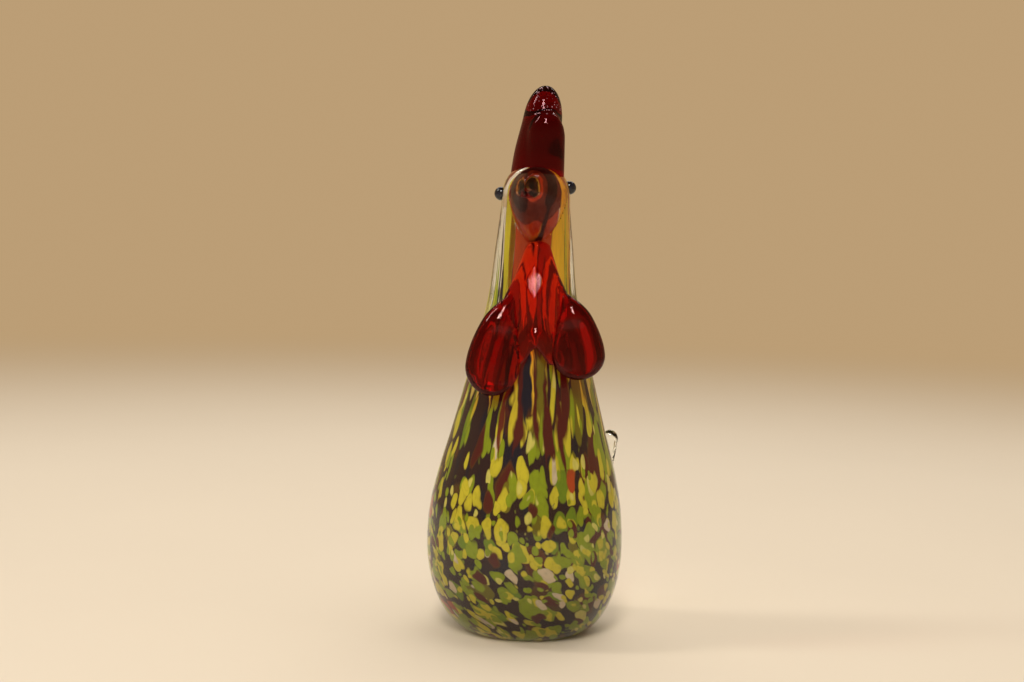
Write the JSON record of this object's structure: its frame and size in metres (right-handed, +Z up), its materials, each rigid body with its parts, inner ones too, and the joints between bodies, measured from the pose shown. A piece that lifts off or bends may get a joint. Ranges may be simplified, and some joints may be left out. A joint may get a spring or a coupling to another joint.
{
  "type": "glass rooster figurine",
  "caption": "Free-standing clear-cased glass rooster with multicoloured chips in its body, a dark red comb, red wattles, black bead eyes and a curled clear tail.",
  "frame": {"origin": "centre of the ground foot, on the surface that the figure stands on", "axes": "+Z up through the body to the comb, -Y the way the beak points, +Y towards the tail, +X the figure's left"},
  "size_m": [0.0793, 0.1245, 0.22],
  "materials": {
    "coloured_glass": "aubergine glass with green, yellow, cream and red-brown chips",
    "clear_glass": "clear, fire-polished",
    "dark_red_glass": "deep red, fire-polished",
    "red_glass": "red, fire-polished",
    "bright_red_glass": "bright red, fire-polished",
    "black_glass": "black, fire-polished"
  },
  "bodies": {
    "root": {"frit_core": "coloured_glass", "drawn_core": "coloured_glass", "clear_casing": "clear_glass", "beak": "clear_glass", "comb": "dark_red_glass", "throat_bib": "bright_red_glass", "wattle_left": "red_glass", "wattle_right": "red_glass", "eye_left": "black_glass", "eye_right": "black_glass", "tail_root": "clear_glass", "tail_plume_high": "clear_glass", "tail_plume_mid": "clear_glass", "tail_plume_low": "clear_glass", "tail_plume_side": "clear_glass"}
  },
  "joints": []
}
